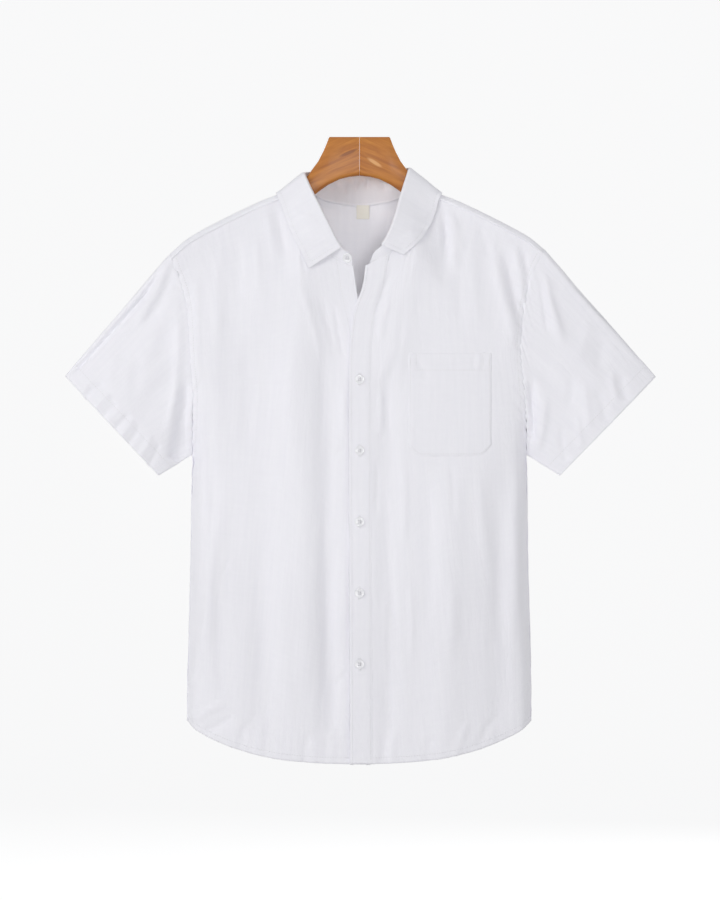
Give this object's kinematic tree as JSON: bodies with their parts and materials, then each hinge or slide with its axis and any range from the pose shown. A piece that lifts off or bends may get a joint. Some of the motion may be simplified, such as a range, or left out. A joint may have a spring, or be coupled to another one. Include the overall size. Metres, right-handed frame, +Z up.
{
  "type": "camp shirt on a wooden hanger",
  "caption": "Short-sleeved white linen camp shirt with a button front, chest pocket and open collar, hanging on a wooden coat hanger.",
  "frame": {"origin": "middle of the hanger's flat top, where a hook screws in", "axes": "+X towards the wearer's left sleeve, -Y out of the shirt's front, +Z up"},
  "size_m": [0.7784, 0.093, 0.8261],
  "materials": {
    "linen": "matt slubbed plain weave",
    "button": "pearly resin",
    "label": "woven tape, blank",
    "wood": "clear satin varnish"
  },
  "bodies": {
    "root": {"front_left": "linen", "front_right": "linen", "back": "linen", "sleeve_left": "linen", "sleeve_right": "linen", "collar_stand": "linen", "collar_leaf": "linen", "button_band": "linen", "pocket": "linen", "label": "label", "button_1": "button", "button_2": "button", "button_3": "button", "button_4": "button", "button_5": "button", "collar_button": "button", "hanger_left": "wood", "hanger_right": "wood"}
  },
  "joints": []
}
